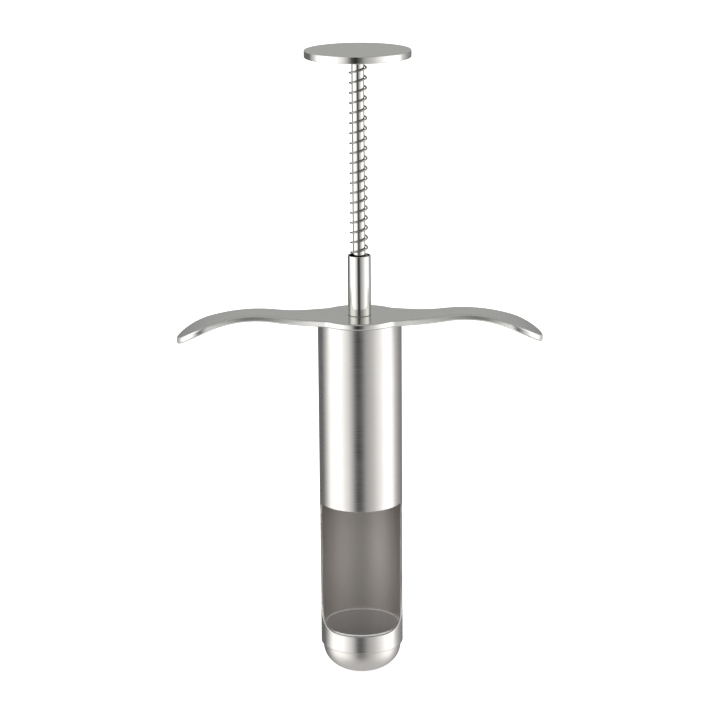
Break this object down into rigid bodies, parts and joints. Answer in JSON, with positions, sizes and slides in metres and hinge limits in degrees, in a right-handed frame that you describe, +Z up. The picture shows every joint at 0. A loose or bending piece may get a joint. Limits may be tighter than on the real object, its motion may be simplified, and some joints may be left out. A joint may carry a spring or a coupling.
{
  "type": "meat injector",
  "caption": "Hand-held stuffing injector: tube with a side window and rounded nose, finger wings, sprung plunger with a palm disc.",
  "frame": {"origin": "lowest point of the rounded nose, on the tool's axis", "axes": "+Z up the tool's axis towards the palm disc, the loading window faces -Y, the finger wings lie along X"},
  "size_m": [0.1744, 0.05, 0.3051],
  "materials": {
    "handle_steel": "brushed faces, polished rim",
    "barrel_steel": "satin, brushed around the tube",
    "nose_steel": "satin",
    "disc_steel": "brushed face, polished rim",
    "polished_steel": "mirror polished stainless steel",
    "spring_steel": "drawn wire",
    "plain_steel": "turned",
    "acetal": "turned white acetal",
    "silicone": "moulded silicone"
  },
  "bodies": {
    "frame": {"wing_handle": "handle_steel", "barrel": "barrel_steel", "nose_cap": "nose_steel", "barrel_collar": "plain_steel", "guide_sleeve": "polished_steel", "rod_bush": "acetal", "spring_seat_washer": "plain_steel", "return_spring": "spring_steel"},
    "spring_carrier": {"spring_top_washer": "plain_steel"},
    "plunger": {"palm_disc": "disc_steel", "plunger_rod": "polished_steel", "bumper_washer": "silicone", "piston_backing_plate": "plain_steel", "piston": "acetal", "piston_face_plate": "plain_steel", "lock_washer": "plain_steel", "piston_nut": "polished_steel"}
  },
  "joints": [
    {"name": "plunger_push", "type": "slide", "parent": "frame", "child": "spring_carrier", "axis": [0, 0, -1], "range_m": [0, 0.093], "stiffness_N_per_m": 450, "springref_m": -0.012, "deforming": ["return_spring"]},
    {"name": "plunger_turn", "type": "hinge", "parent": "spring_carrier", "child": "plunger", "pos_m": [0, 0, 0.2], "axis": [0, 0, 1], "continuous": true}
  ]
}
